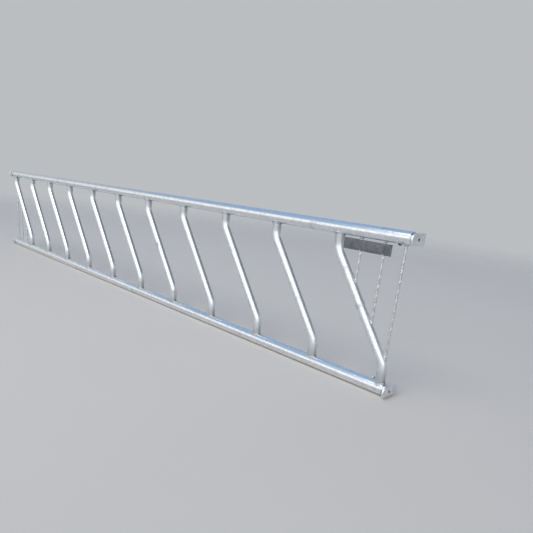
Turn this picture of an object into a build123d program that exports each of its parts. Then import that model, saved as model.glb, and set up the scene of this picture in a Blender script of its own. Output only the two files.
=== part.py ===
"""Slant-bar cattle feed barrier: a welded tube panel with sliding end fittings.

The panel stands in the XZ plane: X along the rails, Z up, the feed side towards -Y.
The origin is under the middle of the panel, level with the underside of the bottom rail.
All sizes are in millimetres.
"""
import math
import os

from build123d import *

# Rails
RAIL_LENGTH = 4440.0
RAIL_OD = 60.3
RAIL_WALL = 5.0
RAIL_CENTRES = 678.0

# Slant bars: upright at both ends, leaning in the middle, the foot to the right of the head
BAR_COUNT = 11
BAR_OD = 44.5
BAR_WALL = 3.2
BAR_LEAN = 337.0
BAR_END_MARGIN = 28.0
BAR_FOOT_RISE = 83.0
BAR_HEAD_DROP = 63.0
BAR_BEND_RADIUS = 100.0
VENT_NOTCH_D = 10.0

# Rods that fill the triangle at each end, placed by shares of the triangle's length
ROD_D = 12.0
ROD_SHARES = (0.066, 0.34, 0.666)

# End fittings: a stub that slides in the rail and a plate across it
STUB_WALL = 4.0
STUB_INSIDE = 250.0
PLATE_STANDOFF = 18.0
PLATE_WIDTH = 110.0
PLATE_LIP = 1.85
PLATE_THICK = 8.0
PLATE_HOLE_D = 14.0
PLATE_EDGE_ROUND = 1.0

# Lock screw and the nut it runs in, inwards of the bar or rod that is nearest the rail's end
LOCK_ANGLE = 45.0
LOCK_PAST_BAR = 16.0
LOCK_PAST_ROD = 1.5
SCREW_D = 12.0
SCREW_RECESS = 2.0
NUT_WALL = 3.5
NUT_HEIGHT = 10.0

# Name plate under the top rail
NAME_FROM_END = 84.0
NAME_FROM_BAR = 10.0
NAME_HEIGHT = 50.0
NAME_THICK = 3.0
NAME_DROP = 8.0

# Welds
BAR_BEAD = 4.0
ROD_BEAD = 3.0
STUB_BEAD = 4.0
NUT_BEAD = 2.0
TACK_RADIUS = 5.0

# Clearances
STUB_GAP = 1.0
THREAD_GAP = 0.05
SCREW_HOLE_GAP = 0.5
TIP_GAP = 0.3

# Worked out from the sizes above
RAIL_R = RAIL_OD / 2
BAR_R = BAR_OD / 2
ROD_R = ROD_D / 2
RAIL_BORE_R = RAIL_R - RAIL_WALL
STUB_R = RAIL_BORE_R - STUB_GAP
PLATE_HEIGHT = 2 * (STUB_R + PLATE_LIP)
SCREW_R = SCREW_D / 2
SOCKET_FLATS = SCREW_R
SOCKET_DEPTH = SCREW_R
NUT_FLATS = SCREW_D + 2 * NUT_WALL
RAIL_END = RAIL_LENGTH / 2
BOTTOM_Z = RAIL_R
TOP_Z = BOTTOM_Z + RAIL_CENTRES
BAR_PITCH = (RAIL_LENGTH - 2 * BAR_END_MARGIN - BAR_LEAN) / (BAR_COUNT - 1)
FIRST_HEAD_X = -RAIL_END + BAR_END_MARGIN
LAST_HEAD_X = FIRST_HEAD_X + BAR_PITCH * (BAR_COUNT - 1)
ROD_FROM_END = [share * (BAR_LEAN + BAR_END_MARGIN) for share in ROD_SHARES]
NAME_LENGTH = RAIL_END - NAME_FROM_END - LAST_HEAD_X - BAR_R - NAME_FROM_BAR
LOCK_BY_BAR = BAR_END_MARGIN + BAR_R + BAR_BEAD + LOCK_PAST_BAR + NUT_FLATS / 2
LOCK_BY_ROD = ROD_FROM_END[0] + ROD_R + LOCK_PAST_ROD + NUT_FLATS / 2
RAIL_HOLE_R = SCREW_R + SCREW_HOLE_GAP
TOP_LOCK = (0.0, -math.cos(math.radians(LOCK_ANGLE)), -math.sin(math.radians(LOCK_ANGLE)))
BOTTOM_LOCK = (0.0, -TOP_LOCK[1], -TOP_LOCK[2])

# Every rail end: its name, which end (-1 left, 1 right), rail height, and the lock's direction and
# distance from the rail's end
CORNERS = (
    ("top_left", -1, TOP_Z, TOP_LOCK, LOCK_BY_BAR),
    ("top_right", 1, TOP_Z, TOP_LOCK, LOCK_BY_ROD),
    ("bottom_left", -1, BOTTOM_Z, BOTTOM_LOCK, LOCK_BY_ROD),
    ("bottom_right", 1, BOTTOM_Z, BOTTOM_LOCK, LOCK_BY_BAR),
)


def along_x(radius, length):
    """A round bar along X, centred on the origin."""
    return Rot(0, 90, 0) * Cylinder(radius, length)


def rail_core(z):
    """The filled outside shape of a rail."""
    return Pos(0, 0, z) * along_x(RAIL_R, RAIL_LENGTH)


def lock_plane(side, z, direction, from_end):
    """Plane on the rail's axis at a lock screw, its normal pointing out along the screw."""
    station = side * (RAIL_END - from_end)
    return Plane(origin=(station, 0, z), x_dir=(1, 0, 0), z_dir=direction)


def make_rail(z):
    """A rail tube with a screw hole through one wall near each end."""
    tube = rail_core(z) - Pos(0, 0, z) * along_x(RAIL_BORE_R, RAIL_LENGTH)
    for _, side, rail_z, direction, from_end in CORNERS:
        if rail_z == z:
            plane = lock_plane(side, z, direction, from_end)
            tube -= plane * Pos(0, 0, RAIL_R) * Cylinder(RAIL_HOLE_R, RAIL_R)
    return tube


def bar_sweep(head_x, outer, inner):
    """A bent bar from rail axis to rail axis; an inner radius of nothing gives a filled bar."""
    foot_x = head_x + BAR_LEAN
    path = FilletPolyline(
        (foot_x, 0, BOTTOM_Z),
        (foot_x, 0, BOTTOM_Z + RAIL_R + BAR_FOOT_RISE),
        (head_x, 0, TOP_Z - RAIL_R - BAR_HEAD_DROP),
        (head_x, 0, TOP_Z),
        radius=BAR_BEND_RADIUS,
    )
    section = Circle(outer)
    if inner:
        section -= Circle(inner)
    return sweep(Plane(origin=path @ 0, z_dir=path % 0) * section, path=path)


def vent_cutter(x, z):
    """A short drill through the right-hand side of a bar where it meets a rail."""
    return Pos(x + BAR_R, 0, z) * along_x(VENT_NOTCH_D / 2, BAR_R)


def make_bar(head_x):
    """A slant bar coped to both rails, with a vent notch at its head and foot."""
    bar = bar_sweep(head_x, BAR_R, BAR_R - BAR_WALL)
    bar -= rail_core(BOTTOM_Z)
    bar -= rail_core(TOP_Z)
    bar -= vent_cutter(head_x, TOP_Z - RAIL_R)
    bar -= vent_cutter(head_x + BAR_LEAN, BOTTOM_Z + RAIL_R)
    return bar


def make_bead(x, z, up, radius, leg):
    """A weld bead round an upright bar or rod on a rail; up is 1 above the rail, -1 below it."""
    reach = RAIL_R + leg
    post = Pos(x, 0, z + up * reach / 2)
    bead = post * Cylinder(radius + leg, reach) & Pos(x, 0, z) * along_x(reach, 4 * (radius + leg))
    bead -= post * Cylinder(radius, 2 * reach)
    bead -= rail_core(z)
    return bead


def make_bar_bead(x, z, up):
    """The weld at a bar's head or foot, open at the vent notch."""
    return make_bead(x, z, up, BAR_R, BAR_BEAD) - vent_cutter(x, z + up * RAIL_R)


def rod_column(x):
    """A rod as long as the panel is high, before it is cut to the rail and the bar."""
    return Pos(x, 0, (TOP_Z + BOTTOM_Z) / 2) * Cylinder(ROD_R, RAIL_CENTRES)


def make_rod(x, rail_z, bar):
    """A rod from the rail at rail_z to the nearest side of a filled bar."""
    pieces = (rod_column(x) - bar - rail_core(TOP_Z) - rail_core(BOTTOM_Z)).solids()
    return min(pieces, key=lambda piece: abs(piece.center().Z - rail_z))


def make_rod_tack(rod, x, rail_z, bar):
    """The weld where a rod stands on a bar."""
    box = rod.bounding_box()
    far_z = box.min.Z if rail_z == TOP_Z else box.max.Z
    return Pos(x, 0, far_z) * Sphere(ROD_R + ROD_BEAD) - rod - bar


def make_stub(side):
    """The stub tube, rail end at the origin."""
    length = STUB_INSIDE + PLATE_STANDOFF
    middle = side * (PLATE_STANDOFF - length / 2)
    return Pos(middle, 0, 0) * (along_x(STUB_R, length) - along_x(STUB_R - STUB_WALL, length))


def make_end_plate(side):
    """The end plate: square at the back, round at the front, one hole on the rail's axis."""
    nose = PLATE_HEIGHT / 2
    outline = Pos(nose / 2, 0) * Rectangle(PLATE_WIDTH - nose, PLATE_HEIGHT)
    outline += Pos(nose - PLATE_WIDTH / 2, 0) * Circle(nose)
    plate = extrude(Plane.YZ * outline, amount=PLATE_THICK)
    plate = fillet(plate.edges(), PLATE_EDGE_ROUND)
    plate -= along_x(PLATE_HOLE_D / 2, 4 * PLATE_THICK)
    plate = Pos(PLATE_STANDOFF, 0, 0) * plate
    return plate if side > 0 else mirror(plate, about=Plane.YZ)


def make_stub_weld(side):
    """The weld between stub and end plate, kept within the plate's height."""
    wide = STUB_R + STUB_BEAD
    cone = Rot(0, 90, 0) * Cone(STUB_R, wide, STUB_BEAD)
    weld = Pos(PLATE_STANDOFF - STUB_BEAD / 2, 0, 0) * cone
    weld -= along_x(STUB_R, 4 * PLATE_STANDOFF)
    weld &= Box(4 * PLATE_STANDOFF, PLATE_WIDTH, PLATE_HEIGHT - 2 * PLATE_EDGE_ROUND)
    return weld if side > 0 else mirror(weld, about=Plane.YZ)


def hexagon(flats):
    """A hexagon by its width across flats, two flats square to X."""
    return RegularPolygon(flats / math.sqrt(3), 6, rotation=30)


def make_lock_nut(plane):
    """A nut standing on the rail over the screw hole."""
    nut = extrude(hexagon(NUT_FLATS) - Circle(SCREW_R + THREAD_GAP), amount=NUT_HEIGHT)
    return plane * Pos(0, 0, RAIL_R) * nut


def make_nut_weld(plane, z):
    """The weld that fills in under and round a lock nut."""
    wide = NUT_FLATS / math.sqrt(3) + NUT_BEAD
    ring = Cylinder(wide, RAIL_R + 2 * NUT_BEAD) - Cylinder(RAIL_HOLE_R, 2 * RAIL_R)
    ring = Pos(0, 0, RAIL_R / 2) * ring
    ring -= Pos(0, 0, RAIL_R) * extrude(hexagon(NUT_FLATS), amount=NUT_HEIGHT)
    return plane * ring - rail_core(z)


def make_lock_screw(plane):
    """A headless screw with a hexagon socket, its tip just off the stub."""
    tip = STUB_R + TIP_GAP
    length = RAIL_R + NUT_HEIGHT - SCREW_RECESS - tip
    screw = Pos(0, 0, length / 2) * Cylinder(SCREW_R, length)
    screw -= Pos(0, 0, length - SOCKET_DEPTH) * extrude(hexagon(SOCKET_FLATS), amount=SOCKET_DEPTH)
    return plane * Pos(0, 0, tip) * screw


def name_plate_centre():
    """Middle of the name plate, which lies against the front of the rods."""
    x = RAIL_END - NAME_FROM_END - NAME_LENGTH / 2
    return x, -ROD_R - NAME_THICK / 2, TOP_Z - RAIL_R - NAME_DROP - NAME_HEIGHT / 2


def make_name_plate():
    """The bare name plate."""
    return Pos(*name_plate_centre()) * Box(NAME_LENGTH, NAME_THICK, NAME_HEIGHT)


def make_plate_tacks(rods):
    """Tack welds on the plate's upper and lower edge at each rod that passes behind it."""
    x, y, z = name_plate_centre()
    tacks = []
    for rod_x, rod in rods:
        if abs(rod_x - x) < NAME_LENGTH / 2:
            for edge in (-1, 1):
                seat = Pos(rod_x, y, z + edge * NAME_HEIGHT / 2)
                half = Pos(0, 0, edge * TACK_RADIUS) * Box(*[2 * TACK_RADIUS] * 3)
                tacks.append(seat * (Sphere(TACK_RADIUS) & half) - rod)
    return tacks


def save(name, pieces):
    """Write one node; several pieces make a group of separate solids."""
    shape = pieces
    if isinstance(pieces, list):
        shape = Compound(children=[solid for piece in pieces for solid in piece.solids()])
    export_step(shape, os.path.join("parts", name + ".step"))


def save_rails_and_bars():
    """Both rails, every slant bar and the welds between them."""
    save("top_rail", make_rail(TOP_Z))
    save("bottom_rail", make_rail(BOTTOM_Z))
    bar = make_bar(FIRST_HEAD_X)
    head_bead = make_bar_bead(FIRST_HEAD_X, TOP_Z, -1)
    foot_bead = make_bar_bead(FIRST_HEAD_X + BAR_LEAN, BOTTOM_Z, 1)
    steps = [Pos(BAR_PITCH * number, 0, 0) for number in range(BAR_COUNT)]
    for number, step in enumerate(steps, start=1):
        save(f"slant_bar_{number:02d}", step * bar)
    save("bar_head_welds", [step * head_bead for step in steps])
    save("bar_foot_welds", [step * foot_bead for step in steps])


def save_rods():
    """The rods at both ends, their welds and the name plate that hangs on the right-hand ones."""
    welds = []
    right_rods = []
    ends = (("left", -1, BOTTOM_Z, FIRST_HEAD_X), ("right", 1, TOP_Z, LAST_HEAD_X))
    for end, side, rail_z, head_x in ends:
        bar = bar_sweep(head_x, BAR_R, 0)
        for number, offset in enumerate(ROD_FROM_END, start=1):
            x = side * (RAIL_END - offset)
            rod = make_rod(x, rail_z, bar)
            save(f"{end}_rod_{number}", rod)
            welds.append(make_bead(x, rail_z, -side, ROD_R, ROD_BEAD))
            welds.append(make_rod_tack(rod, x, rail_z, bar))
            if side > 0:
                right_rods.append((x, rod))
    plate = make_name_plate()
    save("rod_welds", welds)
    save("name_plate", plate)
    save("name_plate_welds", make_plate_tacks(right_rods))


def save_end_fittings():
    """The sliding fitting and the lock at each rail end."""
    nuts = []
    nut_welds = []
    for corner, side, z, direction, from_end in CORNERS:
        place = Pos(side * RAIL_END, 0, z)
        plane = lock_plane(side, z, direction, from_end)
        save(f"stub_{corner}", place * make_stub(side))
        save(f"end_plate_{corner}", place * make_end_plate(side))
        save(f"stub_weld_{corner}", place * make_stub_weld(side))
        save(f"lock_screw_{corner}", make_lock_screw(plane))
        nuts.append(make_lock_nut(plane))
        nut_welds.append(make_nut_weld(plane, z))
    save("lock_nuts", nuts)
    save("lock_nut_welds", nut_welds)


def main():
    """Build every node."""
    os.makedirs("parts", exist_ok=True)
    save_rails_and_bars()
    save_rods()
    save_end_fittings()


if __name__ == "__main__":
    main()
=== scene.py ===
"""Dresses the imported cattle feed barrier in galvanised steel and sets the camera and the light.

Sizes are in metres, and angles in radians unless a name says otherwise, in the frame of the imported
model: X runs along the rails, -Y faces the viewer and +Z is up.
"""
import logging
import math
from dataclasses import dataclass, field
from enum import Enum
from typing import Callable, Optional, Sequence

import bmesh
import bpy
from bmesh.types import BMEdge, BMesh, BMVert
from mathutils import Matrix, Vector, noise


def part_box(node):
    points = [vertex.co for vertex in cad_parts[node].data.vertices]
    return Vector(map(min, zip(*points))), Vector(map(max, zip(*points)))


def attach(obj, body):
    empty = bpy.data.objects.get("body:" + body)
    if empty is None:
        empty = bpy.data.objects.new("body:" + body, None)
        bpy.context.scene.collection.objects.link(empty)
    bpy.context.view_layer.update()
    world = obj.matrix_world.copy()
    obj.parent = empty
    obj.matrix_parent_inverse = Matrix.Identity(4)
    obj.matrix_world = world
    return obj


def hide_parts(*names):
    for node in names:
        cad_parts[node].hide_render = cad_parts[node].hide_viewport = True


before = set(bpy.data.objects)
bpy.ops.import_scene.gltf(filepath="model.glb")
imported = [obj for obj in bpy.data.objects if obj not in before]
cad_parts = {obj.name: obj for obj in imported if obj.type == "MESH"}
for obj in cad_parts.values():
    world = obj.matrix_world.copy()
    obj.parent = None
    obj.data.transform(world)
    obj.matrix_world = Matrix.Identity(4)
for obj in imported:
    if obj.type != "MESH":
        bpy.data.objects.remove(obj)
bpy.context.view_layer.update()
LOG = logging.getLogger("feed_barrier")
PANEL = "panel"
RIGHT_ANGLE = math.pi / 2
ONE_PLACE = 1e-6
HEXAGON = 6

Colour = tuple[float, float, float]
Point = tuple[float, float, float]
Seat = Callable[[float, float], float]
Socket = bpy.types.NodeSocket


class Rail(Enum):
    """The two rails, each with the height of its axis."""

    TOP = 0.70815
    BOTTOM = 0.03015

    @property
    def height(self) -> float:
        """Height of the rail's axis."""
        return self.value

    @property
    def node(self) -> str:
        """The rail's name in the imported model."""
        return f"{self.name.lower()}_rail"

    @property
    def inwards(self) -> int:
        """Way from the rail to the bars: -1 is down, +1 is up."""
        return -1 if self is Rail.TOP else 1

    def place(self, x: float) -> Matrix:
        """Frame on the rail's axis at a given X, its Z towards the bars."""
        return Matrix.Translation((x, 0, self.height)) @ Matrix.Diagonal((1, 1, self.inwards, 1))


class End(Enum):
    """The two ends of the panel, each with the rail that its rods are welded to."""

    LEFT = Rail.BOTTOM
    RIGHT = Rail.TOP

    @property
    def label(self) -> str:
        """The end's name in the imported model."""
        return self.name.lower()


class Corner(Enum):
    """The four rail ends, each with its rail and the side it points to."""

    TOP_LEFT = (Rail.TOP, -1)
    TOP_RIGHT = (Rail.TOP, 1)
    BOTTOM_LEFT = (Rail.BOTTOM, -1)
    BOTTOM_RIGHT = (Rail.BOTTOM, 1)

    @property
    def label(self) -> str:
        """The corner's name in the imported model."""
        return self.name.lower()

    @property
    def body(self) -> str:
        """The body of the end fitting that slides in this rail end."""
        return f"fitting_{self.label}"

    @property
    def side(self) -> int:
        """-1 at the left end, +1 at the right end."""
        return self.value[1]

    @property
    def height(self) -> float:
        """Height of the rail's axis."""
        return self.value[0].height

    @property
    def lock_direction(self) -> Vector:
        """Way that the lock nut points: forwards and down, or backwards and up."""
        tilt = self.value[0].inwards * math.sqrt(0.5)
        return Vector((0, tilt, tilt))


class Slot(Enum):
    """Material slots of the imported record."""

    TUBE = "tube"
    ROD = "rod"
    PLATE = "plate"
    NAME_PLATE = "name_plate"
    WELD = "weld"
    FASTENER = "fastener"


class Sharp(Enum):
    """Angle above which an edge stays sharp, for each kind of shape."""

    PLAIN = 0.6
    RIBBED = 0.9
    WELD = 1.2


class Graph:
    """Shader nodes of a material or of the world, with a short call for each kind in use."""

    # Places of the two colours and of the result among the sockets of a Mix node.
    MIX_FIRST, MIX_SECOND, MIX_RESULT = 6, 7, 2

    def __init__(self, tree: bpy.types.NodeTree, coordinates: str) -> None:
        """Takes over a tree of nodes.

        Args:
            tree: the tree.
            coordinates: the texture coordinates that its patterns read.
        """
        self.nodes, self.links = tree.nodes, tree.links
        self.place = self.nodes.new("ShaderNodeTexCoord").outputs[coordinates]

    def first(self, kind: str) -> bpy.types.Node:
        """The first node of a kind."""
        return next(node for node in self.nodes if node.type == kind)

    def put(self, value: Socket | Colour | float, target: Socket) -> None:
        """Links a socket to a target, or sets the target to a colour or number.

        Args:
            value: a socket, a colour or a number.
            target: the socket that takes it.
        """
        if isinstance(value, Socket):
            self.links.new(value, target)
        else:
            target.default_value = (*value, 1) if isinstance(value, tuple) else value

    def cells(self, size: float) -> Socket:
        """Random grey per crystal.

        Args:
            size: width of a crystal.

        Returns:
            A socket with one random number per crystal.
        """
        voronoi = self.nodes.new("ShaderNodeTexVoronoi")
        voronoi.inputs["Scale"].default_value = 1 / size
        self.links.new(self.place, voronoi.inputs["Vector"])
        split = self.nodes.new("ShaderNodeSeparateColor")
        self.links.new(voronoi.outputs["Color"], split.inputs["Color"])
        return split.outputs["Red"]

    def clouds(self, size: float, detail: float = 2) -> Socket:
        """Soft noise from 0 to 1.

        Args:
            size: width of a cloud.
            detail: number of finer layers.

        Returns:
            A socket with the noise.
        """
        texture = self.nodes.new("ShaderNodeTexNoise")
        texture.inputs["Scale"].default_value = 1 / size
        texture.inputs["Detail"].default_value = detail
        self.links.new(self.place, texture.inputs["Vector"])
        return texture.outputs["Fac"]

    def ranged(self, source: Socket, low: float, high: float, start: float, end: float) -> Socket:
        """Maps a range of a socket smoothly onto another.

        Args:
            source: the socket.
            low: where its range begins.
            high: where its range ends.
            start: result at low.
            end: result at high.

        Returns:
            A socket with the result.
        """
        node = self.nodes.new("ShaderNodeMapRange")
        node.interpolation_type = "SMOOTHSTEP"
        limits = {"From Min": low, "From Max": high, "To Min": start, "To Max": end}
        for name, value in limits.items():
            node.inputs[name].default_value = value
        self.links.new(source, node.inputs["Value"])
        return node.outputs["Result"]

    def sums(self, kind: str, first: Socket, second: Socket | float) -> Socket:
        """One step of arithmetic.

        Args:
            kind: the step, as a Math node names it.
            first: a socket.
            second: a socket or a number.

        Returns:
            A socket with the result.
        """
        node = self.nodes.new("ShaderNodeMath")
        node.operation = kind
        for value, target in zip((first, second), node.inputs):
            self.put(value, target)
        return node.outputs["Value"]

    def height(self) -> Socket:
        """Height above the floor.

        Returns:
            A socket with the height.
        """
        split = self.nodes.new("ShaderNodeSeparateXYZ")
        self.links.new(self.place, split.inputs["Vector"])
        return split.outputs["Z"]

    def distance(self) -> Socket:
        """Distance from the origin.

        Returns:
            A socket with the distance.
        """
        node = self.nodes.new("ShaderNodeVectorMath")
        node.operation = "LENGTH"
        self.links.new(self.place, node.inputs[0])
        return node.outputs["Value"]

    def facing(self, towards: Point, starts: float, full: float) -> Socket:
        """How far a direction lies inside a round patch of the surround.

        Args:
            towards: direction of the patch's middle, of length 1.
            starts: cosine of the angle from the middle where the patch starts.
            full: cosine of the angle from the middle inside which it is full.

        Returns:
            A socket from 0 outside the patch to 1 inside.
        """
        node = self.nodes.new("ShaderNodeVectorMath")
        node.operation = "DOT_PRODUCT"
        self.links.new(self.place, node.inputs[0])
        node.inputs[1].default_value = towards
        return self.ranged(node.outputs["Value"], starts, full, 0.0, 1.0)

    def mixed(self, share: Socket, first: Socket | Colour, second: Socket | Colour) -> Socket:
        """Blends two colours.

        Args:
            share: 0 gives the first colour, 1 the second.
            first: a colour or a socket.
            second: a colour or a socket.

        Returns:
            A socket with the blended colour.
        """
        node = self.nodes.new("ShaderNodeMix")
        node.data_type = "RGBA"
        self.links.new(share, node.inputs["Factor"])
        self.put(first, node.inputs[self.MIX_FIRST])
        self.put(second, node.inputs[self.MIX_SECOND])
        return node.outputs[self.MIX_RESULT]

    def relief(self, source: Socket, depth: float, under: Optional[Socket] = None) -> Socket:
        """Bump from a socket, on top of an earlier bump.

        Args:
            source: height from 0 to 1.
            depth: real height of 1.
            under: normal of an earlier bump.

        Returns:
            A socket with the new normal.
        """
        node = self.nodes.new("ShaderNodeBump")
        node.inputs["Strength"].default_value = 1
        node.inputs["Distance"].default_value = depth
        self.links.new(source, node.inputs["Height"])
        if under is not None:
            self.links.new(under, node.inputs["Normal"])
        return node.outputs["Normal"]


class Paint(Graph):
    """The nodes of one material, on Object coordinates."""

    def __init__(self, name: str) -> None:
        """Starts the material.

        Args:
            name: name of the material.
        """
        self.material = bpy.data.materials.new(name)
        self.material.use_nodes = True
        super().__init__(self.material.node_tree, "Object")
        self.shader = self.first("BSDF_PRINCIPLED")

    def give(self, name: str, value: Socket | Colour | float) -> None:
        """Puts a socket, a colour or a number into one of the shader's inputs."""
        self.put(value, self.shader.inputs[name])


@dataclass(frozen=True)
class WeldHaze:
    """The dull zinc on the bars near their welds.

    Attributes:
        low: heights between which it fades out above the bottom rail.
        high: heights between which it sets in below the top rail.
        strength: how dull it is at the rails, from 0 to 1.
        ragged: how far its edge wanders.
    """

    low: tuple[float, float] = (0.095, 0.155)
    high: tuple[float, float] = (0.640, 0.680)
    strength: float = 0.8
    ragged: float = 0.05

    def mask(self, paint: Paint, clouds: Socket) -> Socket:
        """Where the haze lies.

        Args:
            paint: the material that it belongs to.
            clouds: noise that its edge follows.

        Returns:
            A socket from 0 on clear zinc to the strength at the rails.
        """
        height = paint.sums("ADD", paint.height(), paint.sums("MULTIPLY", clouds, self.ragged))
        low = paint.ranged(height, *self.low, self.strength, 0.0)
        high = paint.ranged(height, *self.high, 0.0, self.strength)
        return paint.sums("MAXIMUM", low, high)


@dataclass(frozen=True)
class Zinc:
    """A finish of hot-dip galvanised or plain steel.

    Attributes:
        name: name of the material.
        slot: the record's slot that it belongs to; not used.
        bright: colour of the bright crystals.
        grey: colour of the grey crystals.
        dull: colour of the dull, cloudy patches.
        smooth: roughness of the bright crystals.
        rough: roughness of the dull patches.
        spread: how much rougher the grey crystals are than the bright ones.
        crystal: width of a crystal.
        fine_size: width of a fine crystal, as a share of a large one.
        fine_share: share of the fine crystals in the pattern.
        tones: values of the pattern at which a crystal is fully bright and fully grey.
        shines: values of the pattern at which a crystal is smoothest and roughest.
        cloud: width of a dull patch.
        cloud_detail: finer layers in a dull patch.
        clear: values of the clouds between which the least patchy surface turns dull.
        lowered: how much lower these values are on the patchiest surface.
        patchy: how much of the surface is dull, from 0 to 1.
        haze: dull zinc near the welds, where there is any.
        wave: width of the soft unevenness.
        wave_detail: finer layers in the soft unevenness.
        speck: width of the fine grain.
        grain: depth of the fine grain.
        wave_depth: depth of the soft unevenness, in grains.
        crystal_depth: height between crystals, in grains.
        metal: how metallic it is, from 0 to 1.
    """

    name: str
    slot: Slot
    bright: Colour = (0.85, 0.875, 0.895)
    grey: Colour = (0.72, 0.75, 0.775)
    dull: Colour = (0.58, 0.605, 0.625)
    smooth: float = 0.17
    rough: float = 0.42
    spread: float = 0.10
    crystal: float = 0.012
    fine_size: float = 0.45
    fine_share: float = 0.35
    tones: tuple[float, float] = (0.15, 0.85)
    shines: tuple[float, float] = (0.1, 0.9)
    cloud: float = 0.07
    cloud_detail: int = 4
    clear: tuple[float, float] = (0.66, 0.80)
    lowered: tuple[float, float] = (0.3, 0.2)
    patchy: float = 0.2
    haze: Optional[WeldHaze] = None
    wave: float = 0.03
    wave_detail: int = 3
    speck: float = 0.0022
    grain: float = 0.00004
    wave_depth: float = 6.0
    crystal_depth: float = 0.35
    metal: float = 0.96

    @property
    def dull_between(self) -> list[float]:
        """Values of the clouds between which the surface turns dull."""
        return [clear - lower * self.patchy for clear, lower in zip(self.clear, self.lowered)]

    def build(self) -> bpy.types.Material:
        """Makes the material.

        Returns:
            A metal with crystals, dull clouds and a fine grain.
        """
        paint = Paint(self.name)
        large = paint.sums("MULTIPLY", paint.cells(self.crystal), 1 - self.fine_share)
        fine = paint.sums("MULTIPLY", paint.cells(self.crystal * self.fine_size), self.fine_share)
        crystals = paint.sums("ADD", large, fine)
        clouds = paint.clouds(self.cloud, self.cloud_detail)
        patches = paint.ranged(clouds, *self.dull_between, 0.0, 1.0)
        if self.haze is not None:
            patches = paint.sums("MAXIMUM", patches, self.haze.mask(paint, clouds))
        tone = paint.ranged(crystals, *self.tones, 0.0, 1.0)
        colour = paint.mixed(tone, self.bright, self.grey)
        paint.give("Base Color", paint.mixed(patches, colour, self.dull))
        shine = paint.ranged(crystals, *self.shines, self.smooth, self.smooth + self.spread)
        duller = paint.sums("MULTIPLY", patches, self.rough - self.smooth - self.spread)
        paint.give("Roughness", paint.sums("ADD", shine, duller))
        paint.give("Metallic", self.metal)
        waves = paint.clouds(self.wave, self.wave_detail)
        uneven = paint.relief(waves, self.grain * self.wave_depth)
        speckle = paint.relief(paint.clouds(self.speck), self.grain, uneven)
        paint.give("Normal", paint.relief(crystals, self.grain * self.crystal_depth, speckle))
        return paint.material


RAIL_ZINC = Zinc("rail_zinc", Slot.TUBE)
BAR_ZINC = Zinc("bar_zinc", Slot.TUBE, dull=(0.45, 0.475, 0.495), smooth=0.27, rough=0.56,
                patchy=0.14, haze=WeldHaze())
ROD_ZINC = Zinc("rod_zinc", Slot.ROD, bright=(0.70, 0.72, 0.72), grey=(0.54, 0.56, 0.56),
                dull=(0.36, 0.375, 0.38), smooth=0.24, rough=0.5, crystal=0.006, patchy=0.3,
                grain=0.0001)
PLATE_ZINC = Zinc("plate_zinc", Slot.PLATE, smooth=0.34, rough=0.6, crystal=0.009, patchy=0.5,
                  grain=0.0001)
# Dark grey name plate: partly the bare plate's own dark tone, partly painted shade for the shadow under
# the top rail.
NAME_PLATE_TONE_AND_SHADE = Zinc("name_plate_zinc_and_shade", Slot.NAME_PLATE, bright=(0.20, 0.212, 0.225),
                 grey=(0.15, 0.16, 0.17), dull=(0.11, 0.118, 0.127), smooth=0.45, rough=0.70,
                 crystal=0.006, patchy=0.5, grain=0.0002)
WELD_ZINC = Zinc("weld_zinc", Slot.WELD, bright=(0.60, 0.62, 0.635), grey=(0.48, 0.50, 0.515),
                 dull=(0.38, 0.40, 0.415), smooth=0.46, rough=0.68, crystal=0.004, patchy=0.5,
                 grain=0.00015)
LOCK_ZINC = Zinc("lock_zinc", Slot.FASTENER, bright=(0.50, 0.515, 0.525), grey=(0.41, 0.422, 0.43),
                 dull=(0.32, 0.33, 0.335), smooth=0.40, rough=0.62, crystal=0.005, patchy=0.5)
# Near-black lock screw: partly dark steel, partly painted shade for the shadow deep inside the nut's
# threaded hole.
DARK_SCREW_AND_HOLE_SHADE = Zinc("screw_steel_and_hole_shade", Slot.FASTENER, bright=(0.15, 0.152, 0.155),
                   grey=(0.11, 0.112, 0.115), dull=(0.07, 0.068, 0.065), smooth=0.38, rough=0.62,
                   crystal=0.003, patchy=0.4)


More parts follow.
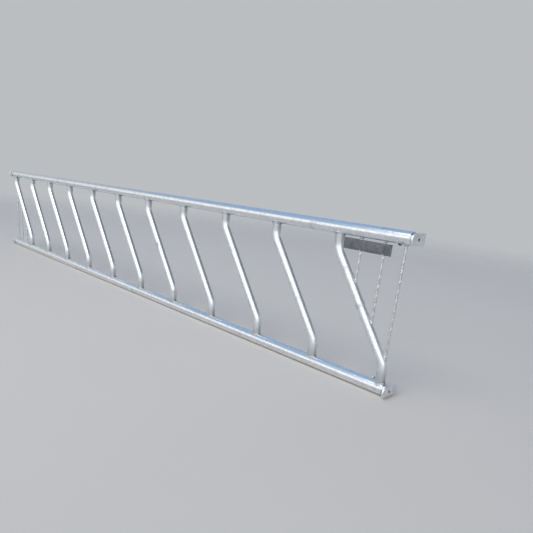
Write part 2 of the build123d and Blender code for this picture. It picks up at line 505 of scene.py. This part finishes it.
@dataclass
class Workshop:
    """Makes each finish once and turns finished shapes into pieces of the model."""

    materials: dict[str, bpy.types.Material] = field(default_factory=dict)

    def material(self, finish: Zinc) -> bpy.types.Material:
        """Looks up the material of a finish, which is made on first use.

        Args:
            finish: the finish.

        Returns:
            Its material.
        """
        if finish.name not in self.materials:
            self.materials[finish.name] = finish.build()
        return self.materials[finish.name]

    def piece(self, name: str, shape: BMesh, finish: Zinc, nodes: Sequence[str],
              body: str = PANEL, sharp: Sharp = Sharp.PLAIN) -> None:
        """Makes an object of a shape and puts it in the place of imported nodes.

        Args:
            name: name of the piece.
            shape: the shape, freed here.
            finish: its finish.
            nodes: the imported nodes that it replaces.
            body: the body that it rides on.
            sharp: which of its edges stay sharp.
        """
        mesh = bpy.data.meshes.new(name)
        shape.to_mesh(mesh)
        shape.free()
        self.dressed(name, mesh, finish, nodes, body, sharp)

    def dressed(self, name: str, mesh: bpy.types.Mesh, finish: Zinc, nodes: Sequence[str],
                body: str = PANEL, sharp: Sharp = Sharp.PLAIN) -> None:
        """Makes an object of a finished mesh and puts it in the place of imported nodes.

        Args:
            name: name of the piece.
            mesh: the mesh, used as it is.
            finish: its finish.
            nodes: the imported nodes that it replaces.
            body: the body that it rides on.
            sharp: which of its edges stay sharp.
        """
        mesh.shade_smooth()
        mesh.set_sharp_from_angle(angle=sharp.value)
        mesh.materials.clear()
        mesh.materials.append(self.material(finish))
        thing = bpy.data.objects.new(name, mesh)
        bpy.context.scene.collection.objects.link(thing)
        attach(thing, body)
        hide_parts(*nodes)
        LOG.info("%s: %d faces, rides on %s", name, len(mesh.polygons), body)

    def kept(self, node: str, finish: Zinc) -> None:
        """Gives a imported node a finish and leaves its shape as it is.

        Args:
            node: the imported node.
            finish: its finish.
        """
        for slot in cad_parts[node].material_slots:
            slot.material = self.material(finish)
        LOG.info("%s: kept from the packed model, %s", node, finish.name)


def merged(shape: BMesh, within: float = ONE_PLACE) -> None:
    """Joins points that lie within a given distance."""
    bmesh.ops.remove_doubles(shape, verts=shape.verts, dist=within)


def join(shape: BMesh, part: BMesh) -> None:
    """Adds one shape to another.

    Args:
        shape: takes the part.
        part: the part, freed here.
    """
    passing = bpy.data.meshes.new("passing")
    part.to_mesh(passing)
    part.free()
    shape.from_mesh(passing)
    bpy.data.meshes.remove(passing)


def cone(shape: BMesh, segments: int, radii: tuple[float, float], depth: float,
         place: Matrix) -> None:
    """Adds a capped cone, cylinder or prism to a shape.

    Args:
        shape: takes the cone.
        segments: number of its sides.
        radii: its lower and upper radius.
        depth: its height.
        place: puts its middle and its axis in the model.
    """
    bmesh.ops.create_cone(shape, cap_ends=True, segments=segments, radius1=radii[0],
                          radius2=radii[1], depth=depth, matrix=place)


def spun(profile: Sequence[tuple[float, float]], steps: int, closed: bool) -> BMesh:
    """Turns a profile once round the X axis.

    Args:
        profile: points as (x, radius).
        steps: number of steps in the turn.
        closed: whether the profile's last point joins its first.

    Returns:
        The new shape.
    """
    shape = bmesh.new()
    points = [shape.verts.new((x, 0, radius)) for x, radius in profile]
    ring = points + points[:1] if closed else points
    edges = [shape.edges.new(pair) for pair in zip(ring, ring[1:])]
    bmesh.ops.spin(shape, geom=points + edges, cent=(0, 0, 0), axis=(1, 0, 0), angle=math.tau,
                   steps=steps, use_merge=True)
    merged(shape)
    bmesh.ops.recalc_face_normals(shape, faces=shape.faces)
    return shape


def carved(base: BMesh, cuts: Sequence[tuple[str, BMesh]], wall: float = 0.0) -> bpy.types.Mesh:
    """Cuts a shape with other shapes and frees them all.

    Args:
        base: the shape to cut.
        cuts: pairs of a Boolean operation and the shape that it uses.
        wall: thickness of a wall that the base gets first, inwards.

    Returns:
        The finished mesh.
    """
    things = []
    for number, part in enumerate([base, *(shape for _, shape in cuts)]):
        mesh = bpy.data.meshes.new(f"carving_{number}")
        part.to_mesh(mesh)
        part.free()
        things.append(bpy.data.objects.new(f"carving_{number}", mesh))
        bpy.context.scene.collection.objects.link(things[-1])
    if wall:
        modifier = things[0].modifiers.new("wall", "SOLIDIFY")
        modifier.thickness, modifier.offset = wall, -1
    for (kind, _), cutter in zip(cuts, things[1:]):
        modifier = things[0].modifiers.new(kind, "BOOLEAN")
        modifier.object, modifier.operation, modifier.solver = cutter, kind, "EXACT"
    graph = bpy.context.evaluated_depsgraph_get()
    graph.update()
    result = bpy.data.meshes.new_from_object(things[0].evaluated_get(graph))
    for thing in things:
        mesh = thing.data
        bpy.data.objects.remove(thing)
        bpy.data.meshes.remove(mesh)
    return result


@dataclass(frozen=True)
class Tube:
    """A straight round tube along X, the outer edges of its ends rounded off.

    Attributes:
        radius: outer radius.
        wall: thickness of the wall.
        round_off: rounding of the end edges.
        parts: parts along the tube.
        around: steps round the tube.
    """

    radius: float
    wall: float
    round_off: float
    parts: int
    around: int

    def build(self, start: float, end: float, height: float) -> BMesh:
        """Makes the tube.

        Args:
            start: X of its left end.
            end: X of its right end.
            height: height of its axis.

        Returns:
            The new shape.
        """
        inside, shoulder = self.radius - self.wall, self.radius - self.round_off
        near, far = start + self.round_off, end - self.round_off
        outside = [(near + (far - near) * part / self.parts, self.radius)
                   for part in range(self.parts + 1)]
        profile = [(start, shoulder), *outside, (end, shoulder), (end, inside), (start, inside)]
        shape = spun(profile, self.around, True)
        bmesh.ops.translate(shape, vec=(0, 0, height), verts=shape.verts)
        return shape


@dataclass(frozen=True)
class Bead:
    """A rippled weld bead round a tube, rod or nut that stands along Z.

    Attributes:
        ring: radius of the line that the bead follows.
        size: radius of the bead.
        ripples: ripples in a full turn.
        steps: steps in a full turn.
        gap: half the angle that stays open at +X, for a vent notch.
        section: points round the bead's section.
        least: size between two ripples, as a share of the full size.
        ripple: height of a ripple, as a share of the full size.
        uneven: unevenness, as a share of the full size.
        lumps: how close the unevenness is, per metre.
    """

    ring: float
    size: float
    ripples: int = 26
    steps: int = 104
    gap: float = 0.0
    section: int = 10
    least: float = 0.90
    ripple: float = 0.16
    uneven: float = 0.22
    lumps: float = 70.0

    def lay(self, shape: BMesh, place: Matrix, seat: Seat, seed: float) -> None:
        """Adds the bead to a shape.

        Args:
            shape: takes the bead.
            place: puts the bead's own frame in the model.
            seat: height of the bead's line at a point (x, y).
            seed: makes each bead's unevenness its own.
        """
        bead = bmesh.new()
        turn = Matrix.Rotation(self.gap, 4, "Z") @ Matrix.Translation((self.ring, 0, 0))
        bmesh.ops.create_circle(bead, segments=self.section, radius=self.size,
                                matrix=turn @ Matrix.Rotation(RIGHT_ANGLE, 4, "X"))
        bmesh.ops.spin(bead, geom=bead.verts[:] + bead.edges[:], cent=(0, 0, 0), axis=(0, 0, 1),
                       angle=math.tau - 2 * self.gap, steps=self.steps, use_merge=self.gap == 0)
        merged(bead)
        bmesh.ops.holes_fill(bead, edges=bead.edges, sides=self.section)
        for vert in bead.verts:
            self.bed(vert, seat, seed)
        bmesh.ops.transform(bead, matrix=place, verts=bead.verts)
        bmesh.ops.recalc_face_normals(bead, faces=bead.faces)
        join(shape, bead)

    def bed(self, vert: BMVert, seat: Seat, seed: float) -> None:
        """Moves a point of the plain ring onto the seat, with its ripple.

        Args:
            vert: the point.
            seat: height of the bead's line at a point (x, y).
            seed: makes each bead's unevenness its own.
        """
        x, y, z = vert.co
        angle = math.atan2(y, x)
        line = Vector((self.ring * math.cos(angle), self.ring * math.sin(angle), seed))
        ripple = self.ripple * abs(math.sin(angle * self.ripples / 2))
        swell = self.least + ripple + self.uneven * noise.noise(line * self.lumps)
        out = self.ring + (math.hypot(x, y) - self.ring) * swell
        rise = seat(line.x, line.y) + z * swell
        vert.co = (out * math.cos(angle), out * math.sin(angle), rise)


@dataclass(frozen=True)
class Blob:
    """An uneven blob of weld.

    Attributes:
        radius: mean radius.
        squash: scale along X, Y and Z.
        splits: how many times its faces are split.
        lumps: how close the unevenness is, per metre.
        uneven: unevenness, as a share of the radius.
        fine: finer unevenness, as a share of the radius.
        finer: how much closer the finer unevenness is.
    """

    radius: float
    squash: Point
    splits: int = 4
    lumps: float = 190.0
    uneven: float = 0.16
    fine: float = 0.05
    finer: float = 2.7

    def lay(self, shape: BMesh, centre: Point, seed: float) -> None:
        """Adds the blob to a shape.

        Args:
            shape: takes the blob.
            centre: its middle.
            seed: makes each blob's unevenness its own.
        """
        lump = bmesh.new()
        bmesh.ops.create_icosphere(lump, subdivisions=self.splits, radius=self.radius)
        for vert in lump.verts:
            spot = vert.co * self.lumps + Vector((seed, 2 * seed, -seed))
            fine = self.fine * noise.noise(spot * self.finer)
            vert.co *= 1 + self.uneven * noise.noise(spot) + fine
        bmesh.ops.scale(lump, vec=self.squash, verts=lump.verts)
        bmesh.ops.translate(lump, vec=centre, verts=lump.verts)
        join(shape, lump)


@dataclass
class Rails:
    """The top and bottom rail."""

    shop: Workshop
    half: float = 2.220
    radius: float = 0.03015
    wall: float = 0.005
    round_off: float = 0.0008
    parts: int = 24
    around: int = 72

    def build(self) -> None:
        """Makes both rails."""
        tube = Tube(self.radius, self.wall, self.round_off, self.parts, self.around)
        for rail in Rail:
            shape = tube.build(-self.half, self.half, rail.height)
            self.shop.piece(f"{rail.node}_tube", shape, RAIL_ZINC, [rail.node])

    def surface(self, across: float) -> float:
        """Height of a rail's surface above its axis at a distance across it."""
        return math.sqrt(self.radius ** 2 - across ** 2)

    def seat(self, lift: float) -> Seat:
        """Seat of a bead whose line lies a given height above a rail's surface."""
        return lambda _along, across: self.surface(across) + lift


@dataclass
class SlantBars:
    """The eleven bent bars and the weld beads at their heads and feet."""

    shop: Workshop
    rails: Rails
    count: int = 11
    first: float = -2.192
    pitch: float = 0.4047
    lean: float = 0.337
    radius: float = 0.02225
    wall: float = 0.0032
    foot_corner: float = 0.1433
    head_corner: float = 0.6150
    bend: float = 0.100
    bend_steps: int = 10
    slant_parts: int = 4
    around: int = 48
    notch: float = 0.005
    notch_around: int = 24
    bead_size: float = 0.0046
    bead_lift: float = 0.0006
    bead_gap: float = 0.24
    seed_step: float = 1.7

    @property
    def angle(self) -> float:
        """Angle of the slanting part from upright."""
        return math.atan2(self.lean, self.head_corner - self.foot_corner)

    @property
    def tangent(self) -> float:
        """Distance from a corner to where its bend starts."""
        return self.bend * math.tan(self.angle / 2)

    def heads(self) -> list[float]:
        """X of each bar's head."""
        return [self.first + self.pitch * index for index in range(self.count)]

    def build(self) -> None:
        """Makes the bars and their beads."""
        pattern = self.pattern()
        for number, x in enumerate(self.heads(), 1):
            mesh = pattern.copy()
            mesh.transform(Matrix.Translation((x, 0, 0)))
            name = f"slant_bar_{number:02d}"
            self.shop.dressed(f"{name}_tube", mesh, BAR_ZINC, [name])
        bpy.data.meshes.remove(pattern)
        self.beads("bar_head_welds", Rail.TOP, 0.0)
        self.beads("bar_foot_welds", Rail.BOTTOM, self.lean)

    def skin(self) -> BMesh:
        """Draws the outer skin of a bar with its head at X = 0, foot first.

        Returns:
            The new shape, open at both ends.
        """
        shape = bmesh.new()
        low, high = Rail.BOTTOM.height, Rail.TOP.height
        low_bend, high_bend = self.foot_corner - self.tangent, self.head_corner + self.tangent
        slope = Vector((-math.sin(self.angle), 0, math.cos(self.angle)))
        corners_apart = math.hypot(self.lean, self.head_corner - self.foot_corner)
        bmesh.ops.create_circle(shape, segments=self.around, radius=self.radius,
                                matrix=Matrix.Translation((self.lean, 0, low)))
        foot = shape.verts[:]
        ring = self.drawn(shape, shape.edges[:], Vector((0, 0, low_bend - low)), 1)
        ring = self.bent(shape, ring, Vector((self.lean - self.bend, 0, low_bend)), -1)
        ring = self.drawn(shape, ring, slope * (corners_apart - 2 * self.tangent), self.slant_parts)
        ring = self.bent(shape, ring, Vector((self.bend, 0, high_bend)), 1)
        ring = self.drawn(shape, ring, Vector((0, 0, high - high_bend)), 1)
        for vert in foot:
            vert.co.z = low + self.rails.surface(vert.co.y)
        for vert in self.points(ring):
            vert.co.z = high - self.rails.surface(vert.co.y)
        bmesh.ops.recalc_face_normals(shape, faces=shape.faces)
        return shape

    @staticmethod
    def points(ring: Sequence[BMEdge]) -> list[BMVert]:
        """The points of a ring of edges, each once."""
        return list(dict.fromkeys(vert for edge in ring for vert in edge.verts))

    def drawn(self, shape: BMesh, ring: list[BMEdge], move: Vector, parts: int) -> list[BMEdge]:
        """Draws a ring of edges out along a straight.

        Args:
            shape: takes the new faces.
            ring: the edges to draw out.
            move: the whole way.
            parts: number of parts in it.

        Returns:
            The edges of the last ring.
        """
        for _ in range(parts):
            made = bmesh.ops.extrude_edge_only(shape, edges=ring)["geom"]
            verts = [item for item in made if isinstance(item, BMVert)]
            ring = [item for item in made if isinstance(item, BMEdge)
                    and all(vert in verts for vert in item.verts)]
            bmesh.ops.translate(shape, vec=move / parts, verts=verts)
        return ring

    def bent(self, shape: BMesh, ring: list[BMEdge], centre: Vector, way: int) -> list[BMEdge]:
        """Turns a ring of edges through one bend.

        Args:
            shape: takes the new faces.
            ring: the edges to turn.
            centre: the bend's centre.
            way: -1 leans the bar towards -X, +1 brings it upright.

        Returns:
            The edges of the last ring.
        """
        last = bmesh.ops.spin(shape, geom=self.points(ring) + ring, cent=centre, axis=(0, way, 0),
                              angle=self.angle, steps=self.bend_steps)["geom_last"]
        return [item for item in last if isinstance(item, BMEdge)]

    def pattern(self) -> bpy.types.Mesh:
        """Makes one bar with its wall and both vent notches, its head at X = 0.

        Returns:
            The finished mesh.
        """
        drill = bmesh.new()
        for rail, x in ((Rail.BOTTOM, self.lean), (Rail.TOP, 0.0)):
            spot = (x + self.radius, 0, rail.height + rail.inwards * self.rails.radius)
            place = Matrix.Translation(spot) @ Matrix.Rotation(RIGHT_ANGLE, 4, "Y")
            cone(drill, self.notch_around, (self.notch, self.notch), self.radius, place)
        return carved(self.skin(), [("DIFFERENCE", drill)], self.wall)

    def beads(self, node: str, rail: Rail, shift: float) -> None:
        """Makes one bead per bar on one rail.

        Args:
            node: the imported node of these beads.
            rail: the rail.
            shift: X of a bar's end on that rail from its head.
        """
        bead = Bead(self.radius + self.bead_lift, self.bead_size, gap=self.bead_gap)
        seat = self.rails.seat(self.bead_lift)
        shape = bmesh.new()
        for number, x in enumerate(self.heads()):
            bead.lay(shape, rail.place(x + shift), seat, number * self.seed_step + rail.height)
        self.shop.piece(f"{node}_beads", shape, WELD_ZINC, [node], sharp=Sharp.WELD)


@dataclass
class EndRods:
    """The three ribbed rods at each end, with the bead and the blob of weld that hold each."""

    shop: Workshop
    rails: Rails
    numbers: tuple[int, ...] = (1, 2, 3)
    radius: float = 0.0065
    core: float = 0.0053
    long_ribs: int = 2
    twist: float = 0.085
    cross_step: float = 0.0085
    cross_height: float = 0.75
    rib_power: int = 4
    step: float = 0.0009
    around: int = 32
    bead_size: float = 0.0032
    bead_lift: float = 0.0004
    bead_ripples: int = 14
    bead_steps: int = 56
    bead_seed: float = 2.3
    blob: Blob = Blob(0.0085, (1.1, 0.95, 1.0))
    blob_inset: float = 0.004
    blob_seed: float = 5.1

    def build(self) -> None:
        """Makes the six rods and their welds."""
        welds = bmesh.new()
        for end in End:
            for number in self.numbers:
                self.rod(f"{end.label}_rod_{number}", end.value, number, welds)
        self.shop.piece("rod_weld_beads", welds, WELD_ZINC, ["rod_welds"], sharp=Sharp.WELD)

    def rib(self, vert: BMVert) -> None:
        """Raises a point of a plain rod along X onto its twisted and its cross ribs.

        Args:
            vert: the point.
        """
        x, y, z = vert.co
        reach = math.hypot(y, z)
        if reach < self.core / 2:
            return
        phase = math.atan2(z, y) - math.tau * x / self.twist
        along = max(0.0, math.cos(self.long_ribs * phase)) ** self.rib_power
        cross = max(0.0, math.cos(math.tau * x / self.cross_step + phase)) ** self.rib_power
        height = max(along, self.cross_height * cross)
        grown = self.core + (self.radius - self.core) * height
        vert.co = (x, y * grown / reach, z * grown / reach)

    def rod(self, node: str, rail: Rail, number: int, welds: BMesh) -> None:
        """Makes one rod and lays its welds.

        Args:
            node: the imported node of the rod.
            rail: the rail that it is welded to.
            number: its number at its end of the panel.
            welds: takes its bead and its blob.
        """
        low, high = (Vector(corner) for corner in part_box(node))
        x, length = (low.x + high.x) / 2, high.z - low.z
        count = int(length / self.step)
        skin = [(low.z + length * part / count, self.core) for part in range(count + 1)]
        shape = spun([(low.z, 0.0), *skin, (high.z, 0.0)], self.around, False)
        for vert in shape.verts:
            self.rib(vert)
        upright = Matrix.Translation((x, 0, 0)) @ Matrix.Rotation(-RIGHT_ANGLE, 4, "Y")
        bmesh.ops.transform(shape, matrix=upright, verts=shape.verts)
        bmesh.ops.recalc_face_normals(shape, faces=shape.faces)
        self.shop.piece(f"{node}_bar", shape, ROD_ZINC, [node], sharp=Sharp.RIBBED)
        way = rail.inwards
        bead = Bead(self.radius + self.bead_lift, self.bead_size, self.bead_ripples, self.bead_steps)
        bead.lay(welds, rail.place(x), self.rails.seat(self.bead_lift),
                 number * self.bead_seed + way)
        tip = low.z if rail is Rail.TOP else high.z
        self.blob.lay(welds, (x, 0, tip - self.blob_inset * way), number * self.blob_seed + way)


@dataclass
class EndFittings:
    """Stub, end plate, lock nut and lock screw on each rail end."""

    shop: Workshop
    rails: Rails
    stub: Tube = Tube(radius=0.02415, wall=0.004, round_off=0.0005, parts=4, around=64)
    inner: float = 1.970
    plate_face: float = 2.238
    plate_half: float = 0.026
    bead_size: float = 0.0040
    bead_out: float = 0.0004
    bead_lift: float = 0.0006
    bead_ripples: int = 30
    bead_seed: float = 3.0
    nut_flats: float = 0.019
    nut_height: float = 0.010
    nut_chamfer: tuple[float, float] = (1.75, 0.48)
    nut_around: int = 64
    nut_sliver: float = 0.00004
    thread: float = 0.00605
    thread_around: int = 40
    nut_bead_ring: float = 0.54
    nut_bead_size: float = 0.0028
    nut_bead_ripples: int = 18
    nut_bead_steps: int = 72
    nut_bead_lift: float = 0.0004
    nut_bead_seed: float = 4.1

    def build(self) -> None:
        """Makes and dresses the four end fittings."""
        for corner in Corner:
            self.stub_tube(corner)
            self.stub_bead(corner)
            self.shop.kept(f"end_plate_{corner.label}", PLATE_ZINC)
            # The lock screws get a near-black finish that is partly painted shade of the nut's hole.
            self.shop.kept(f"lock_screw_{corner.label}", DARK_SCREW_AND_HOLE_SHADE)
        self.nuts()
        self.nut_beads()

    def stub_tube(self, corner: Corner) -> None:
        """Makes the tube that slides in a rail end.

        Args:
            corner: the rail end.
        """
        start, end = sorted((corner.side * self.inner, corner.side * self.plate_face))
        shape = self.stub.build(start, end, corner.height)
        node = f"stub_{corner.label}"
        self.shop.piece(f"{node}_tube", shape, RAIL_ZINC, [node], corner.body)

    def stub_bead(self, corner: Corner) -> None:
        """Lays the bead between a stub and its plate, kept inside the plate's edges.

        Args:
            corner: the rail end.
        """
        shape = bmesh.new()
        place = (Matrix.Translation((corner.side * self.plate_face, 0, corner.height))
                 @ Matrix.Rotation(-corner.side * RIGHT_ANGLE, 4, "Y"))
        bead = Bead(self.stub.radius + self.bead_out, self.bead_size, self.bead_ripples)
        bead.lay(shape, place, lambda _x, _y: self.bead_lift,
                 corner.side * self.bead_seed + corner.height)
        for vert in shape.verts:
            rise = vert.co.z - corner.height
            vert.co.z = corner.height + max(-self.plate_half, min(self.plate_half, rise))
        node = f"stub_weld_{corner.label}"
        self.shop.piece(f"{node}_bead", shape, WELD_ZINC, [node], corner.body, Sharp.WELD)

    def lock_place(self, corner: Corner) -> Matrix:
        """Finds the frame of a lock nut.

        Args:
            corner: the rail end.

        Returns:
            A frame on the rail's axis, its Z out along the screw.
        """
        low, high = (Vector(point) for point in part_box(f"lock_screw_{corner.label}"))
        along, out = Vector((1, 0, 0)), corner.lock_direction
        turn = Matrix((along, out.cross(along), out)).transposed().to_4x4()
        return Matrix.Translation(((low.x + high.x) / 2, 0, corner.height)) @ turn

    def nuts(self) -> None:
        """Makes the four welded nuts, their outer corners chamfered."""
        blank, drill, chamfer = bmesh.new(), bmesh.new(), bmesh.new()
        middle = Matrix.Translation((0, 0, self.rails.radius + self.nut_height / 2))
        reach = self.nut_flats / math.sqrt(3)
        foot, face = self.nut_chamfer
        flats_on = middle @ Matrix.Rotation(math.pi / HEXAGON, 4, "Z")
        cone(blank, HEXAGON, (reach, reach), self.nut_height, flats_on)
        through = 3 * self.nut_height
        cone(drill, self.thread_around, (self.thread, self.thread), through, middle)
        slopes = (reach * foot, self.nut_flats * face)
        cone(chamfer, self.nut_around, slopes, self.nut_height, middle)
        pattern = carved(blank, [("DIFFERENCE", drill), ("INTERSECT", chamfer)])
        shape = bmesh.new()
        for corner in Corner:
            mesh = pattern.copy()
            mesh.transform(self.lock_place(corner))
            shape.from_mesh(mesh)
            bpy.data.meshes.remove(mesh)
        bpy.data.meshes.remove(pattern)
        merged(shape, self.nut_sliver)
        self.shop.piece("lock_nut_set", shape, LOCK_ZINC, ["lock_nuts"])

    def nut_beads(self) -> None:
        """Lays the bead round each lock nut."""
        shape = bmesh.new()
        bead = Bead(self.nut_flats * self.nut_bead_ring, self.nut_bead_size, self.nut_bead_ripples,
                    self.nut_bead_steps)
        seat = self.rails.seat(self.nut_bead_lift)
        for number, corner in enumerate(Corner):
            bead.lay(shape, self.lock_place(corner), seat, number * self.nut_bead_seed)
        self.shop.piece("lock_nut_weld_beads", shape, WELD_ZINC, ["lock_nut_welds"],
                        sharp=Sharp.WELD)


@dataclass
class NamePlate:
    """The bare plate under the top rail at the right end, tacked to two of the rods."""

    shop: Workshop
    corner: float = 0.003
    corner_steps: int = 5
    edge: float = 0.0008
    edge_steps: int = 3
    rim_angle: float = 1.2
    rods: tuple[int, int] = (2, 3)
    tack: Blob = Blob(0.0046, (1.15, 0.75, 0.85))
    tack_out: float = 0.0008
    tack_seed: float = 3.3

    def build(self) -> None:
        """Makes the plate with rounded corners and edges, and its tacks."""
        low, high = (Vector(corner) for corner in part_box("name_plate"))
        size = high - low
        shape = bmesh.new()
        bmesh.ops.create_cube(shape, size=1, matrix=Matrix.Translation((low + high) / 2)
                              @ Matrix.Diagonal((*size, 1)))
        posts = [edge for edge in shape.edges
                 if abs(edge.verts[0].co.y - edge.verts[1].co.y) > size.y / 2]
        self.rounded(shape, posts, self.corner, self.corner_steps)
        rims = [edge for edge in shape.edges if edge.calc_face_angle(0) > self.rim_angle]
        self.rounded(shape, rims, self.edge, self.edge_steps)
        # The plate's dark finish is partly painted shade from the top rail above it.
        self.shop.piece("name_plate_blank", shape, NAME_PLATE_TONE_AND_SHADE, ["name_plate"])
        self.tacks(low, high)

    @staticmethod
    def rounded(shape: BMesh, edges: Sequence[BMEdge], offset: float, segments: int) -> None:
        """Rounds some edges of a shape.

        Args:
            shape: the shape.
            edges: the edges.
            offset: how far the rounding reaches from an edge.
            segments: number of steps in it.
        """
        bmesh.ops.bevel(shape, geom=edges, offset=offset, offset_type="OFFSET", segments=segments,
                        profile=0.5, affect="EDGES", material=-1)

    def tacks(self, low: Vector, high: Vector) -> None:
        """Puts a blob of weld where each rod passes the plate's edges.

        Args:
            low: the plate's lowest corner.
            high: the plate's highest corner.
        """
        shape = bmesh.new()
        for number in self.rods:
            start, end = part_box(f"right_rod_{number}")
            for edge in (low.z - self.tack_out, high.z + self.tack_out):
                centre = ((start[0] + end[0]) / 2, (low.y + high.y) / 2, edge)
                self.tack.lay(shape, centre, number * self.tack_seed + edge)
        self.shop.piece("name_plate_tacks", shape, WELD_ZINC, ["name_plate_welds"],
                        sharp=Sharp.WELD)


@dataclass(frozen=True)
class Lamp:
    """A soft studio lamp.

    Attributes:
        name: name of the lamp.
        place: where it stands.
        aim: the point it faces.
        size: width and height of its face.
        power: strength in watts.
        colour: colour of its light.
    """

    name: str
    place: Point
    aim: Point
    size: tuple[float, float]
    power: float
    colour: Colour

    def build(self) -> None:
        """Hangs the lamp."""
        data = bpy.data.lights.new(self.name, "AREA")
        data.shape = "RECTANGLE"
        data.size, data.size_y = self.size
        data.energy, data.color = self.power, self.colour
        thing = bpy.data.objects.new(self.name, data)
        way = Vector(self.aim) - Vector(self.place)
        thing.location = self.place
        thing.rotation_euler = way.to_track_quat("-Z", "Y").to_euler()
        bpy.context.scene.collection.objects.link(thing)


@dataclass(frozen=True)
class Zone:
    """A soft patch of light in the surround.

    Attributes:
        name: what the patch is.
        towards: the direction of its middle, of length 1.
        starts: cosine of the angle from the middle where it starts.
        full: cosine of the angle from the middle inside which it is full.
        colour: colour and strength of its light.
        high: whether it keeps above the horizon, where no level view shows it.
    """

    name: str
    towards: Point
    starts: float
    full: float
    colour: Colour
    high: bool = False


@dataclass
class Studio:
    """Floor, light and camera. Each zone of light lies over those before it."""

    floor_colour: Colour = (0.67, 0.635, 0.60)
    floor_shade: float = 0.97
    floor_cloud: float = 0.8
    floor_rough: float = 0.85
    floor_drop: float = 0.0005
    floor_reach: float = 13.0
    floor_sides: int = 96
    floor_fades: tuple[float, float] = (4.5, 12.0)
    surround: Colour = (0.50, 0.515, 0.53)
    high_from: tuple[float, float] = (0.42, 0.60)
    zones: tuple[Zone, ...] = (
        Zone("front horizon", (0, -1, 0), -0.1, 0.8, (1.15, 1.15, 1.15)),
        Zone("sky", (0, 0, 1), 0.36, 0.56, (0.30, 0.445, 0.665)),
        Zone("front glow", (0.383, -0.821, 0.423), 0.54, 0.78, (1.45, 1.46, 1.48)),
        Zone("dim back right", (0.609, 0.426, 0.669), 0.60, 0.84, (0.13, 0.14, 0.16), True),
    )
    lamp: Lamp = Lamp("top", (0.6, -3.5, 6.0), (0, 0, 0.2), (3.0, 3.0), 110, (1.0, 0.985, 0.96))
    eye: Point = (3.17601, -1.86290, 0.84552)
    turn_degrees: Point = (72.7992, -6.0642, 44.4939)
    sensor_mm: float = 36.0
    lens_mm: float = 32.245
    shift_up: float = 0.1293
    sees_to: float = 200.0

    def build(self) -> None:
        """Sets floor, world, lamp and camera."""
        bpy.context.scene.view_settings.view_transform = "Standard"
        self.floor()
        self.world()
        self.lamp.build()
        self.camera()

    def floor(self) -> None:
        """Lays a plain pale floor that fades into the surround."""
        shape = bmesh.new()
        bmesh.ops.create_circle(shape, cap_ends=True, segments=self.floor_sides, radius=self.floor_reach,
                                matrix=Matrix.Translation((0, 0, -self.floor_drop)))
        mesh = bpy.data.meshes.new("floor")
        shape.to_mesh(mesh)
        shape.free()
        paint = Paint("floor_paint")
        shaded = tuple(value * self.floor_shade for value in self.floor_colour)
        clouds = paint.clouds(self.floor_cloud)
        paint.give("Base Color", paint.mixed(clouds, self.floor_colour, shaded))
        paint.give("Roughness", self.floor_rough)
        paint.give("Alpha", paint.ranged(paint.distance(), *self.floor_fades, 1.0, 0.0))
        mesh.materials.append(paint.material)
        thing = bpy.data.objects.new("floor", mesh)
        bpy.context.scene.collection.objects.link(thing)

    def world(self) -> None:
        """Blends the zones of light into one soft surround."""
        world = bpy.data.worlds.new("studio")
        world.use_nodes = True
        graph = Graph(world.node_tree, "Generated")
        light: Socket | Colour = self.surround
        for zone in self.zones:
            share = graph.facing(zone.towards, zone.starts, zone.full)
            if zone.high:
                share = graph.sums("MULTIPLY", share, graph.facing((0, 0, 1), *self.high_from))
            light = graph.mixed(share, light, zone.colour)
        back = graph.first("BACKGROUND")
        graph.put(light, back.inputs["Color"])
        graph.put(1.0, back.inputs["Strength"])
        bpy.context.scene.world = world

    def camera(self) -> None:
        """Puts the camera at the photograph's view."""
        data = bpy.data.cameras.new("camera")
        data.sensor_width, data.lens = self.sensor_mm, self.lens_mm
        data.shift_y, data.clip_end = self.shift_up, self.sees_to
        thing = bpy.data.objects.new("camera", data)
        thing.location = self.eye
        thing.rotation_euler = [math.radians(angle) for angle in self.turn_degrees]
        bpy.context.scene.collection.objects.link(thing)
        bpy.context.scene.camera = thing


def main() -> None:
    """Builds the barrier's pieces in order, then the studio."""
    logging.basicConfig(level=logging.INFO, format="%(name)s: %(message)s")
    shop = Workshop()
    rails = Rails(shop)
    rails.build()
    SlantBars(shop, rails).build()
    EndRods(shop, rails).build()
    EndFittings(shop, rails).build()
    NamePlate(shop).build()
    Studio().build()


if __name__ == "__main__":
    main()
